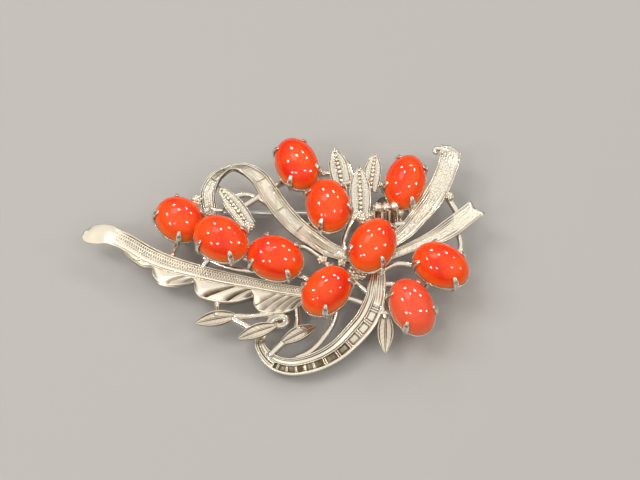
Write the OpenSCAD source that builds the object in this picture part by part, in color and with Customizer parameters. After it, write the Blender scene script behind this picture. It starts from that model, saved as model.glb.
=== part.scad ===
/* [Stones] */
// Height of a coral cabochon's dome above its girdle
dome_h = 3.1; // [2.6:0.1:3.4]
// Depth of a cabochon below its girdle
girdle_h = 0.7; // [0.5:0.1:0.9]
// Gap between a stone and the metal round it
stone_gap = 0.06; // [0.05:0.01:0.1]

/* [Settings] */
// Height of the seat rim that a stone rests in
seat_h = 0.8; // [0.6:0.1:0.9]
// Drop from a stone's girdle to the claw wires crossing under it
basket_h = 3.0; // [2.6:0.1:3.2]
// Thickness of the claw wire
claw_d = 0.8; // [0.7:0.05:0.9]
// Height of a claw tip above the girdle
claw_rise = 1.35; // [1.2:0.05:1.5]

/* [Ribbons and leaves] */
// Thickness of a ribbon's floor
ribbon_t = 0.7; // [0.6:0.05:0.8]
// Height of the raised rails over the floor
rail_h = 0.3; // [0.2:0.05:0.4]
// Thickness of a leaf at its rim
leaf_t = 0.7; // [0.6:0.05:0.8]
// Thickness of the joining wires
wire_d = 0.9; // [0.8:0.05:1]
// Number of crossbars in the ladder ribbon
ladder_bars = 13; // [10:1:15]

/* [Pin and catch] */
// Thickness of the pin stem
stem_d = 0.9; // [0.8:0.05:1]
// Height of the pin above the surface that the brooch lies on
pin_z = 1.5; // [1.4:0.05:1.6]
// Place of the hinge along the brooch
hinge_x = 17; // [16.5:0.25:17.5]
// Place of the catch along the brooch
catch_x = -12.3; // [-12.5:0.1:-12]
// Line of the pin across the brooch
pin_y = 9.0; // [8.8:0.1:9.2]
// Thickness of the rivet in the hinge
rivet_d = 1.0; // [0.9:0.05:1.1]
// Clearance all round the rivet
rivet_gap = 0.05; // [0.04:0.01:0.08]

/* [Hidden] */
silver = [0.86, 0.85, 0.82];
bright = [0.93, 0.93, 0.92];
coral = [0.94, 0.28, 0.12];
coral_pale = [0.91, 0.36, 0.27];

// Moves the middle of the brooch's outline to the origin
middle = [-0.13, 0.2, 0];

// Stones: x, y, girdle height, half length, half width, turn, lean left-right, lean front-back,
// then the directions of the four claws
STONES = [
    [-16.5,   4.9, 6.2, 4.00, 3.90, -38,   6,  0, [178, 100,  12, -88]],
    [ -9.5,  -0.1, 8.7, 4.35, 3.85, -28,   0,  0, [206, 116,  17, -65]],
    [ -1.0,  -2.7, 7.2, 4.50, 3.65, -18,   0,  4, [199, 111,  26, -58]],
    [  2.2,  14.7, 7.6, 4.85, 3.55, 108,   0,  0, [148,  73, -24, -104]],
    [  7.3,   6.1, 8.6, 4.70, 3.50,  99,   0,  0, [149,  52, -16, -106]],
    [ 19.9,  11.6, 6.9, 4.90, 3.35,  76,   0,  4, [199, 103,  34, -78]],
    [ 14.2,  -1.1, 8.5, 4.65, 3.70,  72,   0,  0, [201, 116,  40, -68]],
    [  7.0,  -8.6, 7.5, 4.35, 3.50,  52,   0,  0, [175,  80,  16, -93]],
    [ 24.8,  -4.0, 7.2, 4.50, 3.60, -30,   0,  0, [185, 102,  22, -62]],
    [ 20.1, -10.7, 6.3, 4.60, 3.60, 108,   0,  5, [155,  75, -14, -106]]
];

// Ribbons: x, y, height, width, bank of the strip
FEATHER = [
    [-32.1,  3.4, 4.2, 1.3,   0],
    [-31.3,  3.2, 4.2, 2.7,  -4],
    [-29.9,  3.2, 4.4, 3.3,  -8],
    [-28.2,  3.1, 4.6, 3.2, -12],
    [-26.4,  2.2, 4.9, 2.8, -14],
    [-24.6,  1.2, 5.0, 2.8, -14],
    [-21.1, -1.0, 5.0, 2.8, -14],
    [-17.4, -2.6, 4.9, 2.6, -14],
    [-12.4, -4.1, 4.8, 2.3, -14],
    [ -7.9, -5.2, 4.7, 2.1, -12],
    [ -3.6, -6.1, 4.6, 1.9, -10],
    [  0.2, -6.9, 4.6, 1.8,  -8],
    [  5.0, -7.8, 4.6, 1.7,   0]
];
LOOP = [
    [-11.4,  5.2, 4.5, 2.0,  0],
    [-12.2,  8.3, 4.8, 2.3,  5],
    [-12.4, 10.4, 5.3, 2.2, 15],
    [-11.9, 11.9, 5.9, 2.2, 28],
    [-10.8, 13.3, 6.4, 2.1, 48],
    [ -8.6, 14.4, 6.8, 2.2, 62],
    [ -6.4, 14.3, 6.8, 2.6, 42],
    [ -4.1, 12.7, 6.7, 2.9, 16],
    [ -2.5, 10.2, 6.5, 3.2,  4],
    [ -0.6,  7.1, 6.4, 3.2,  0],
    [  1.1,  4.9, 6.3, 3.2,  0],
    [  2.9,  3.1, 6.0, 3.1,  0],
    [  5.2,  1.4, 5.6, 2.9,  0],
    [  7.8, -0.3, 5.3, 2.6,  0],
    [ 12.2, -2.0, 5.0, 1.6,  0]
];
TALL = [
    [27.4, 18.4, 5.8, 3.3, 0],
    [27.3, 16.6, 6.2, 3.5, 0],
    [26.7, 14.0, 6.3, 3.4, 0],
    [25.3, 10.9, 6.0, 3.5, 0],
    [23.6,  8.1, 5.7, 3.4, 0],
    [21.7,  5.5, 5.8, 3.0, 0],
    [19.7,  3.1, 5.5, 2.6, 0],
    [16.4,  0.4, 5.1, 1.8, 0]
];
SHORT = [
    [31.4,  7.5, 5.6, 3.3, 0],
    [29.4,  5.7, 5.7, 3.3, 0],
    [27.0,  3.7, 5.7, 3.3, 0],
    [24.6,  2.1, 5.6, 2.8, 0],
    [21.3,  0.6, 5.4, 1.9, 0],
    [16.4, -1.5, 5.0, 1.3, 0]
];
LADDER = [
    [15.0,  -3.2, 5.1, 1.5,  0],
    [15.0,  -4.8, 5.1, 1.9,  0],
    [14.9,  -6.7, 4.9, 2.8,  4],
    [14.5,  -8.8, 4.6, 3.4,  8],
    [13.2, -11.7, 4.1, 3.6, 12],
    [11.4, -13.9, 3.6, 3.6, 16],
    [ 8.9, -16.2, 3.1, 3.5, 20],
    [ 6.3, -17.7, 2.7, 3.4, 22],
    [ 3.6, -18.5, 2.4, 3.2, 24],
    [ 1.2, -18.7, 2.2, 2.9, 24],
    [-1.0, -18.1, 2.2, 2.4, 22],
    [-2.6, -16.7, 2.3, 1.9, 16],
    [-3.2, -14.9, 2.4, 1.6, 10],
    [-2.6, -13.3, 2.4, 1.5,  0],
    [-1.3, -12.1, 2.4, 1.6,  0],
    [ 0.4, -11.5, 2.2, 1.7,  0]
];

// Feather lobes: points along the band, then points along the free rim
LOBES = [
    [[[-25.4, 1.2], [-23.8, 0.2], [-22.2, -0.8], [-20.3, -1.7]],
     [[-25.4, 0.3], [-24.0, -1.0], [-22.2, -1.9], [-20.3, -2.5]], 4.1],
    [[[-20.6, -1.6], [-18.8, -2.5], [-17.0, -3.2], [-15.2, -3.8], [-13.3, -4.3]],
     [[-20.5, -3.2], [-19.5, -4.8], [-17.4, -5.2], [-15.6, -5.2], [-13.7, -5.0]], 3.5],
    [[[-13.5, -4.3], [-11.4, -4.9], [-9.3, -5.4], [-7.2, -5.8], [-5.0, -6.2]],
     [[-13.5, -6.3], [-12.0, -7.6], [-9.6, -8.2], [-6.8, -8.1], [-4.5, -7.5]], 3.4],
    [[[-5.0, -6.2], [-3.1, -6.6], [-1.1, -7.0], [1.1, -7.4], [3.4, -7.8]],
     [[-4.2, -8.5], [-3.1, -9.9], [-1.1, -10.4], [1.3, -9.9], [3.3, -8.8]], 3.6]
];

// Leaves: tip, root, width, bank
BEADED_LEAVES = [
    [[-10.7, 11.6, 5.7], [-5.2,  3.7, 5.4], 2.8, 0],
    [[  8.3, 18.5, 6.6], [ 9.8, 11.2, 5.4], 3.1, 0],
    [[ 12.4, 14.7, 6.9], [12.6,  5.4, 5.5], 3.1, 0],
    [[ 15.2, 17.6, 6.4], [14.2, 10.9, 5.2], 2.8, 0]
];
PLAIN_LEAVES = [
    [[-13.3, -12.0, 3.1], [-7.0, -10.8, 3.3], 2.6, 0],
    [[ -6.6, -14.8, 3.4], [-0.7, -12.6, 3.6], 2.4, 0],
    [[ -0.1, -15.4, 2.9], [ 5.3, -12.5, 3.1], 2.4, 0],
    [[ 16.0, -16.7, 2.4], [16.2, -10.5, 3.7], 2.6, 0]
];

// Joining wires: points from end to end
WIRES = [
    [[-16.6,  3.6, 3.3], [-17.4, -0.6, 4.6], [-18.0, -2.2, 4.8]],
    [[-10.4, -0.9, 5.6], [-12.2, -2.6, 5.0], [-12.9, -4.0, 4.8]],
    [[ -0.4, -4.4, 4.3], [ 0.5, -6.8, 4.6]],
    [[-12.4, -1.5, 5.0], [-8.5, -3.1, 4.8], [-4.8, -3.7, 4.6], [2.6, -4.5, 4.6], [5.6, -6.6, 4.7]],
    [[ 11.2, -1.4, 5.1], [ 9.7,  0.9, 5.1], [11.0,  5.0, 5.3], [12.5,  6.6, 5.5]],
    [[  0.6, -1.8, 4.6], [ 2.9,  0.6, 5.0], [ 6.9, -2.4, 5.0], [8.4, -6.4, 4.8]],
    [[ 26.6, 10.2, 5.9], [28.4,  5.4, 5.7]],
    [[ 28.0,  3.2, 5.6], [27.9,  0.2, 5.0], [25.8, -3.0, 4.2]],
    [[ 15.4, -3.8, 4.9], [18.6, -2.5, 4.9], [24.0, -3.6, 4.3]],
    [[ -2.3, 11.0, 6.1], [ 1.4, 13.6, 4.7]],
    [[ -3.2,  9.8, 6.3], [-7.6,  7.2, 5.4]],
    [[ -9.0,  9.2, 5.4], [-6.4, 10.0, 5.6], [-4.4, 9.4, 5.8], [-2.2, 8.0, 6.2]],
    [[  2.5, 13.6, 4.7], [ 4.2,  9.0, 5.2], [ 6.6, 6.9, 5.5]],
    [[ 20.3, -9.8, 3.6], [22.4, -6.2, 3.9], [24.2, -4.6, 4.2]],
    [[ 15.6, -9.6, 4.2], [16.2, -11.4, 3.6]],
    [[ 15.6, -5.8, 4.9], [18.4, -6.4, 4.3], [20.0, -9.8, 3.6]],
    [[ 12.6, -2.8, 5.4], [10.8, -5.0, 5.0], [ 8.2, -7.6, 4.7]],
    [[ 10.8, -5.0, 5.0], [13.8, -7.6, 4.6]],
    [[ -7.3, -10.9, 3.3], [-4.5, -10.4, 3.6], [-1.4, -9.6, 3.9]],
    [[ -7.6, -11.2, 3.2], [-4.6, -13.1, 3.3]],
    [[-10.0, -10.9, 3.3], [-10.2, -7.6, 3.9]],
    [[  2.5, -13.0, 3.0], [ 2.3, -8.8, 4.1]],
    [[  0.3, -15.2, 2.8], [-1.7, -17.2, 2.4]],
    [[  7.6, -9.8, 4.6], [ 7.0, -13.4, 3.6], [4.6, -16.2, 3.0], [1.6, -17.4, 2.7]],
    [[  8.0, -8.4, 4.6], [10.6, -8.4, 4.4], [13.4, -9.4, 4.3]],
    [[  8.6, 17.4, 6.3], [10.4, 15.9, 6.1], [11.4, 13.4, 6.0], [12.3, 11.0, 6.2]],
    [[  3.0, 14.8, 4.7], [ 6.6, 14.2, 5.4], [8.8, 14.4, 5.9]],
    [[  9.6, 12.0, 5.4], [12.4, 12.2, 6.3]],
    [[ 12.8, 12.0, 6.3], [15.0, 12.6, 5.2], [19.3, 11.4, 4.1]],
    [[  6.6,  5.6, 5.5], [ 3.4,  3.6, 5.8]],
    [[ -9.8,  1.4, 5.5], [-11.6, 6.4, 4.5]],
    [[-15.6,  5.2, 3.4], [-12.2, 7.8, 4.6]],
    [[ -8.2,  0.4, 5.6], [-5.8,  2.7, 5.3], [-5.7, 4.7, 5.4]],
    [[ -8.6, -0.8, 5.5], [-2.0, -2.7, 4.3]],
    [[ 19.2, 10.6, 4.1], [17.2,  6.6, 4.7], [16.4, 3.6, 5.0], [15.2, 1.2, 5.4]],
    [[ 20.3, 10.2, 4.1], [20.8,  6.2, 5.3]],
    [[ 19.0, -10.6, 3.5], [15.4, -10.6, 4.0]],
    [[ 12.6,  6.2, 5.4], [15.2,  4.7, 4.9], [19.6,  4.7, 5.2]]
];

// Bead-topped stamens: foot, top, bead radius
STAMENS = [
    [[15.6, 4.3, 5.0], [15.3, 7.0, 6.6], 0.75],
    [[16.6, 4.4, 5.0], [16.8, 7.0, 7.6], 0.70],
    [[17.6, 4.6, 5.0], [17.9, 6.8, 8.0], 0.70],
    [[16.0, 5.0, 4.9], [15.9, 8.2, 6.2], 0.60],
    [[17.4, 5.2, 4.9], [18.8, 6.6, 5.7], 0.50]
];
// Solder beads where wires meet: x, y, height, radius
NODULES = [
    [-14.1,  9.1, 5.2, 0.95],
    [  6.3, -1.9, 5.1, 0.85],
    [ 10.8, -5.0, 5.1, 1.05],
    [ 11.4,  6.0, 5.5, 0.75],
    [ 13.6,  6.2, 5.5, 0.75],
    [ 27.0,  9.4, 5.9, 0.80]
];

// Cabochons: their sides, the bevel under the girdle and the angle that the dome's rings reach
stone_sides = 20;
stone_back = 0.9;
stone_bevel = 0.3;
dome_rings = 4;
dome_angle = 76;

// Settings: the wall round the stone, the ledge under it and the bends of the claw wires
rim_sides = 14;
rim_t = 0.28;
rim_top = 0.1;
rim_taper = 0.06;
rim_drop = 0.5;
ledge_w = 0.85;
claw_foot = 1.5;
claw_step = 0.12;
claw_bend = 0.3;
claw_wall = 0.6;
claw_lap = 0.13;

// Leaves and lobes: how much they arch, and the folds of the lobes
leaf_arch = 0.35;
leaf_end = 0.04;
leaf_fullness = 0.8;
band_z = 4.55;
fold_up = 0.18;
fold_down = 0.08;

// Small work: stamens, round beads, crossbars, the roll and the foot
stamen_d = 0.6;
bead_sides = 6;
bar_d = 0.5;
bar_lift = 0.02;
bar_ends = [-0.38, 0.06];
first_bar = 5;
roll_d = 1.3;
roll_line = [[24.9, 18.3, 5.5], [26.6, 18.7, 5.6], [28.9, 18.2, 5.6]];
foot_at = [0.9, -11.4];
foot_d = 1.2;
foot_h = 0.4;
curl_d = 1.1;
curl_low = [-0.9, 0, 2.1];
curl_mid = [-0.9, 0.2, 2.2];
curl_top = [-1.1, -1.0, 2.9];

// Hinge, catch and pin
pad_z = 3.2;
pad_t = 0.8;
pad_l = 3.4;
post_d = 1.3;
hinge_post = 4.7;
hinge_post_at = [1.2, 0.6];
catch_post = 5.0;
cheek_t = 0.8;
cheek_r = pin_z;
eye_w = 1.4;
eye_r = 1.0;
cheek_gap = 0.1;
bracket_w = eye_w + 2 * cheek_gap + 2 * cheek_t;
bracket_t = 0.6;
rivet_head_r = 0.9;
rivet_head_t = 0.3;
rivet_fit = 0.02;
catch_w = 1.6;
catch_r = pin_z;
catch_mouth = stem_d + 0.3;
stem_reach = hinge_x - catch_x + catch_w;
root_reach = 1.9;
root_l = 1.2;
point_l = 4.2;
point_d = 0.25;
// How far a cut runs past the metal
past = 1;

function at(list, i) = list[max(0, min(len(list) - 1, i))];
function curve(p, q, r, s, t) = 0.5 * (2 * q + (r - p) * t
    + (2 * p - 5 * q + 4 * r - s) * t * t + (3 * q - p - 3 * r + s) * t * t * t);
function smooth(rows, steps) = [
    for (i = [0:len(rows) - 2])
        for (k = [0:steps - 1])
            curve(at(rows, i - 1), rows[i], rows[i + 1], at(rows, i + 2), k / steps),
    rows[len(rows) - 1]
];
function place_of(row) = [row[0], row[1], row[2]];
function unit(v) = v / norm(v);
function heading(rows, i) = unit(place_of(at(rows, i + 1)) - place_of(at(rows, i - 1)));
function side_of(way, bank) =
    let (flat = unit(cross(way, [0, 0, 1])), up = cross(flat, way))
    flat * cos(bank) + up * sin(bank);
function flat_of(v) = [for (part = v) each part];

// Shapes swept along rows, one ring of points to a row
function ring_faces(rings, m) = concat(
    [[for (j = [m - 1:-1:0]) j]],
    [for (i = [0:rings - 2]) for (j = [0:m - 1])
        let (a = i * m + j, b = i * m + (j + 1) % m) [a, b, b + m]],
    [for (i = [0:rings - 2]) for (j = [0:m - 1])
        let (a = i * m + j, b = i * m + (j + 1) % m) [a, b + m, a + m]],
    [[for (j = [0:m - 1]) (rings - 1) * m + j]]
);
function strip_ring(row, way, profile) =
    let (side = side_of(way, row[4]), up = cross(side, way), k = row[5] == undef ? 1 : row[5])
    [for (p = profile) place_of(row) + side * p[0] * row[3] + up * p[1] * k];

module strip(rows, profile) {
    points = flat_of([for (i = [0:len(rows) - 1]) strip_ring(rows[i], heading(rows, i), profile)]);
    polyhedron(points, ring_faces(len(rows), len(profile)), convexity = 6);
}

module wire(points, d, sides = 4, across = undef) {
    rings = [for (i = [0:len(points) - 1])
        let (way = heading(points, i),
             side = across == undef ? side_of(way, 0) : unit(across - way * (across * way)),
             up = cross(side, way))
        [for (j = [0:sides - 1])
            points[i] + (side * cos(360 * j / sides) + up * sin(360 * j / sides)) * d / 2]];
    polyhedron(flat_of(rings), ring_faces(len(points), sides), convexity = 4);
}

// Profiles: place across the strip as a share of its width, height
railed = [
    [-0.50, -ribbon_t / 2], [0.50, -ribbon_t / 2], [0.50, rail_h],
    [0.34, 0], [-0.34, 0], [-0.50, rail_h]
];
laddered = [
    [-0.50, -ribbon_t / 2], [0.50, -ribbon_t / 2], [0.50, rail_h], [0.34, 0.05],
    [0.20, rail_h], [0.06, -0.1], [-0.38, -0.1], [-0.50, rail_h]
];
banded = [
    [-0.50, -ribbon_t / 2], [0.50, -ribbon_t / 2], [0.50, 0.1], [0.20, rail_h],
    [-0.04, 0.1], [-0.32, 0.1], [-0.50, rail_h]
];
veined = [
    [-0.50, -leaf_t / 2], [0.50, -leaf_t / 2], [0.46, 0.25],
    [0.16, -0.05], [0, 0.25], [-0.16, -0.05], [-0.46, 0.25]
];

function leaf_rows(leaf, steps = 5) = [
    for (i = [0:steps])
        let (t = i / steps, swell = pow(sin(180 * (leaf_end + (1 - 2 * leaf_end) * t)), leaf_fullness),
             p = leaf[0] * (1 - t) + leaf[1] * t + [0, 0, leaf_arch * sin(180 * t)])
        [p[0], p[1], p[2], leaf[2] * swell, leaf[3], 0.5 + 0.5 * swell]
];

// A lobe is a grid of points from the band to the rim, creased lengthwise
function lobe_grid(lobe, inward) = [
    for (r = [0:2]) [
        for (i = [0:len(lobe[0]) - 1])
            let (t = r / 2, p = lobe[0][i] * (1 - t) + lobe[1][i] * t,
                 crease = (i % 2 == 0 ? fold_up : -fold_down) * sin(90 * t + 30))
            [p[0], p[1], band_z * (1 - t) + lobe[2] * t + leaf_arch * sin(180 * t) + crease - inward]
    ]
];
function grid_faces(rows, cols, start, turn) = [
    for (r = [0:rows - 2]) for (c = [0:cols - 2])
        let (a = start + r * cols + c, b = a + 1, d = a + cols, e = d + 1)
        each turn ? [[a, b, e], [a, e, d]] : [[a, e, b], [a, d, e]]
];
module lobe(points) {
    rows = 3;
    cols = len(points[0]);
    n = rows * cols;
    rim = concat(
        [for (c = [0:cols - 1]) c],
        [for (r = [1:rows - 1]) r * cols + cols - 1],
        [for (c = [cols - 2:-1:0]) (rows - 1) * cols + c],
        [for (r = [rows - 2:-1:1]) r * cols]
    );
    walls = [for (i = [0:len(rim) - 1])
        let (a = rim[i], b = rim[(i + 1) % len(rim)])
        each [[a, b, b + n], [a, b + n, a + n]]];
    polyhedron(
        flat_of(concat(lobe_grid(points, 0), lobe_grid(points, leaf_t))),
        concat(grid_faces(rows, cols, 0, true), grid_faces(rows, cols, n, false),
               [for (w = walls) [w[0], w[2], w[1]]]),
        convexity = 6
    );
}

module on_stone(s) {
    translate([s[0], s[1], s[2]]) rotate([s[7], s[6], 0]) rotate(s[5]) children();
}

// Cabochon: rings of an oval from the flat back over the dome
function oval_ring(a, b, z, n) = [for (j = [0:n - 1]) [a * cos(360 * j / n), -b * sin(360 * j / n), z]];
module cabochon(s) {
    levels = concat(
        [[stone_back, -girdle_h], [1, -girdle_h + stone_bevel], [1, 0]],
        [for (k = [1:dome_rings])
            let (rise = k * dome_angle / dome_rings)
            [cos(rise), dome_h * sin(rise) / sin(dome_angle)]]
    );
    points = flat_of([for (l = levels) oval_ring(s[3] * l[0], s[4] * l[0], l[1], stone_sides)]);
    on_stone(s) polyhedron(points, ring_faces(len(levels), stone_sides));
}

// Oval ring whose section is a list of [outset, height]; its flats clear the oval
module oval_band(a, b, section, n) {
    m = len(section);
    out = 1 / cos(180 / n);
    points = flat_of([for (j = [0:n - 1]) [for (p = section)
        [(a + p[0]) * out * cos(360 * j / n), (b + p[0]) * out * sin(360 * j / n), p[1]]]]);
    faces = [for (j = [0:n - 1]) for (k = [0:m - 1])
        let (p = j * m + k, q = j * m + (k + 1) % m,
             r = ((j + 1) % n) * m + k, t = ((j + 1) % n) * m + (k + 1) % m)
        each [[p, t, q], [p, r, t]]];
    polyhedron(points, faces);
}

function oval_point(a, b, turn) =
    let (k = 1 / sqrt(pow(cos(turn) / a, 2) + pow(sin(turn) / b, 2)))
    [k * cos(turn), k * sin(turn)];

// Half of a claw wire, from under the stone up its wall to the bent tip
function claw_half(a, b, turn, depth) =
    let (rim = oval_point(a, b, turn), out = unit(rim),
         low = rim - out * claw_foot, wall = rim + out * (claw_d / 2 + stone_gap),
         tip = rim - out * claw_lap)
    [
        [low[0], low[1], -depth],
        [wall[0], wall[1], -seat_h - claw_bend],
        [wall[0], wall[1], claw_wall],
        [tip[0], tip[1], claw_rise + claw_d / 2]
    ];
function reversed(list) = [for (i = [len(list) - 1:-1:0]) list[i]];

// One wire bent under the stone makes two opposite claws
module claw_pair(a, b, turn, other, depth) {
    one = claw_half(a, b, turn, depth);
    two = claw_half(a, b, other, depth);
    chord = two[0] - one[0];
    wire(concat(reversed(one), two), claw_d, 4, across = unit(cross(chord, [0, 0, 1])));
}

module setting(s) {
    seat_top = -girdle_h - stone_gap;
    on_stone(s) {
        // Seat rim: a ledge under the stone and a low wall round it
        oval_band(s[3], s[4], [
            [stone_gap, seat_top], [stone_gap + rim_t, -rim_top],
            [stone_gap - rim_taper, -seat_h - rim_drop], [-ledge_w, seat_top]
        ], rim_sides);
        // The second wire passes a little above the first
        for (k = [0, 1])
            claw_pair(s[3], s[4], s[8][k] - s[5], s[8][k + 2] - s[5], basket_h - k * claw_step);
    }
}

module ladder_bar(rows, i) {
    row = rows[i];
    way = heading(rows, i);
    side = side_of(way, row[4]);
    up = cross(side, way);
    hull()
        for (across = bar_ends)
            translate(place_of(row) + side * across * row[3] + up * bar_lift)
                sphere(d = bar_d, $fn = 4);
}

module ribbons() {
    ladder = smooth(LADDER, 2);
    strip(FEATHER, banded);
    strip(smooth(LOOP, 2), railed);
    strip(TALL, railed);
    strip(SHORT, railed);
    strip(ladder, laddered);
    for (k = [0:ladder_bars - 1]) ladder_bar(ladder, first_bar + k);
    for (l = LOBES) lobe(l);
    // Rolled top of the tall ribbon
    wire(roll_line, roll_d, 8);
    // Curled end of the ladder ribbon, which the brooch stands on
    translate([foot_at[0], foot_at[1], 0]) {
        hull() {
            cylinder(d = foot_d, h = foot_h, $fn = 10);
            translate(curl_low) sphere(d = curl_d, $fn = 8);
        }
        hull() {
            translate(curl_mid) sphere(d = curl_d, $fn = 8);
            translate(curl_top) sphere(d = curl_d - 0.2, $fn = 8);
        }
    }
}

module stamen(s) {
    wire([s[0], s[1]], stamen_d);
    translate(s[1]) sphere(r = s[2], $fn = bead_sides);
}

// Plates under the frame that carry the hinge and the catch, each on a short post
module pads() {
    translate([hinge_x, pin_y, pad_z + pad_t / 2]) cube([pad_l, bracket_w, pad_t], center = true);
    post([hinge_x, pin_y] + hinge_post_at, hinge_post);
    translate([catch_x, pin_y, pad_z + pad_t / 2]) cube([catch_w, 2 * catch_r, pad_t], center = true);
    post([catch_x, pin_y], catch_post);
}
module post(place, top) {
    low = pad_z + pad_t / 2;
    translate([place[0], place[1], low]) cylinder(d = post_d, h = top - low, $fn = 8);
}

module silver_frame() {
    color(silver) union() {
        ribbons();
        for (l = BEADED_LEAVES) strip(leaf_rows(l), veined);
        for (l = PLAIN_LEAVES) strip(leaf_rows(l), veined);
        for (w = WIRES) wire(w, wire_d);
        for (s = STAMENS) stamen(s);
        for (n = NODULES) translate(place_of(n)) sphere(r = n[3], $fn = bead_sides);
        for (s = STONES) setting(s);
        pads();
    }
}

module hinge_bracket() {
    color(silver) difference() {
        union() {
            translate([hinge_x, pin_y, pad_z - bracket_t / 2])
                cube([2 * cheek_r, bracket_w, bracket_t], center = true);
            for (s = [-1, 1]) translate([hinge_x, pin_y + s * (bracket_w - cheek_t) / 2, 0]) {
                translate([0, 0, pin_z]) rotate([90, 0, 0])
                    cylinder(r = cheek_r, h = cheek_t, center = true, $fn = 48);
                translate([0, 0, (pad_z + pin_z) / 2])
                    cube([2 * cheek_r, cheek_t, pad_z - pin_z], center = true);
            }
        }
        translate([hinge_x, pin_y, pin_z]) rotate([90, 0, 0])
            cylinder(d = rivet_d + 2 * rivet_fit, h = bracket_w + past, center = true, $fn = 48);
    }
}

module hinge_rivet() {
    color(bright) translate([hinge_x, pin_y, pin_z]) rotate([90, 0, 0]) {
        cylinder(d = rivet_d, h = bracket_w + 2 * rivet_head_t, center = true, $fn = 48);
        for (s = [-1, 1]) translate([0, 0, s * (bracket_w + rivet_head_t) / 2])
            cylinder(r = rivet_head_r, h = rivet_head_t, center = true, $fn = 48);
    }
}

module catch() {
    color(silver) translate([catch_x, pin_y, 0]) {
        difference() {
            translate([0, 0, pad_z / 2]) cube([catch_w, 2 * catch_r, pad_z], center = true);
            translate([0, 0, pin_z]) rotate([0, 90, 0])
                cylinder(d = catch_mouth, h = catch_w + past, center = true, $fn = 48);
            translate([0, 0, (pin_z - past) / 2])
                cube([catch_w + past, catch_mouth, pin_z + past], center = true);
        }
    }
}

// Eye with a stout root, an even round stem and a point
module pin_stem() {
    color(bright) translate([hinge_x, pin_y, pin_z]) difference() {
        union() {
            rotate([90, 0, 0]) cylinder(r = eye_r, h = eye_w, center = true, $fn = 48);
            translate([-root_reach, 0, 0]) rotate([0, 90, 0])
                cylinder(d1 = stem_d, d2 = eye_w, h = root_l, $fn = 24);
            rotate([0, -90, 0]) cylinder(d = stem_d, h = stem_reach - point_l, $fn = 24);
            translate([point_l - stem_reach, 0, 0]) rotate([0, -90, 0])
                cylinder(d1 = stem_d, d2 = point_d, h = point_l, $fn = 24);
        }
        rotate([90, 0, 0]) cylinder(d = rivet_d + 2 * rivet_gap, h = eye_w + past, center = true, $fn = 48);
    }
}

module stone(i) {
    color(i == 9 ? coral_pale : coral) cabochon(STONES[i]);
}

translate(middle) silver_frame();
translate(middle) hinge_bracket();
translate(middle) hinge_rivet();
translate(middle) catch();
translate(middle) pin_stem();
for (i = [0:9]) translate(middle) stone(i);
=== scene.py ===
"""Coral spray brooch: openwork silver ribbons, leaves and wires with ten coral cabochons in claws."""
import math

import bmesh
import bpy
import numpy as np
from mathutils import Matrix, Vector


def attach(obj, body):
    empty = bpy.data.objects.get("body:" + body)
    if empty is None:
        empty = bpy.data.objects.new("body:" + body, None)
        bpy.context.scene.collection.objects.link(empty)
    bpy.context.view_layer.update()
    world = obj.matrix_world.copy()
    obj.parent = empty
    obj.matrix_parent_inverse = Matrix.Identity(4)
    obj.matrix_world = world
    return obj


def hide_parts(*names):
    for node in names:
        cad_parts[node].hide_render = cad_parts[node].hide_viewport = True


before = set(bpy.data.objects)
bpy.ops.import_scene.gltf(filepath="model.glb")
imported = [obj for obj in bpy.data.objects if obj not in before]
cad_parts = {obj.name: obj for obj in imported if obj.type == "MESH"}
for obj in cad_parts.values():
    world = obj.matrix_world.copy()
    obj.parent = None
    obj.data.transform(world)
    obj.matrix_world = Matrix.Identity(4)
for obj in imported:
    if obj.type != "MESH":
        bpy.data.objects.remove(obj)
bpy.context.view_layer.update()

# Tables are in millimetres, in the spray's own drawing frame
MM = 0.001
SHIFT = np.array([-0.13, 0.2, 0.0])

# Stones: x, y, girdle height, half length, half width, turn, lean left-right, lean front-back and the
# directions of the four claws
STONES = [
    [-16.5, 4.9, 6.2, 4.25, 3.65, -42, 6, 0, [178, 100, 12, -88]],
    [-9.5, -0.1, 8.7, 4.60, 3.60, -35, 0, 0, [206, 116, 17, -65]],
    [-1.0, -2.7, 7.2, 4.50, 3.60, -20, 0, 4, [199, 111, 26, -58]],
    [2.2, 14.7, 7.6, 4.90, 3.45, 110, 0, 0, [148, 73, -24, -104]],
    [7.3, 6.1, 8.6, 4.70, 3.50, 99, 0, 0, [149, 52, -16, -106]],
    [19.9, 11.6, 6.9, 4.90, 3.35, 76, 0, 4, [199, 103, 34, -78]],
    [14.2, -1.1, 8.5, 4.75, 3.50, 64, 0, 0, [201, 116, 40, -68]],
    [7.0, -8.6, 7.5, 4.50, 3.35, 50, 0, 0, [175, 80, 16, -93]],
    [24.8, -4.0, 7.2, 4.60, 3.50, -32, 0, 0, [185, 102, 22, -62]],
    [20.1, -10.7, 6.3, 4.70, 3.30, 112, 0, 5, [155, 75, -14, -106]],
]
PALE_STONE = 10
# Heights of a stone above its girdle and below it
DOME = 3.1
STONE_BACK = 0.7

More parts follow.
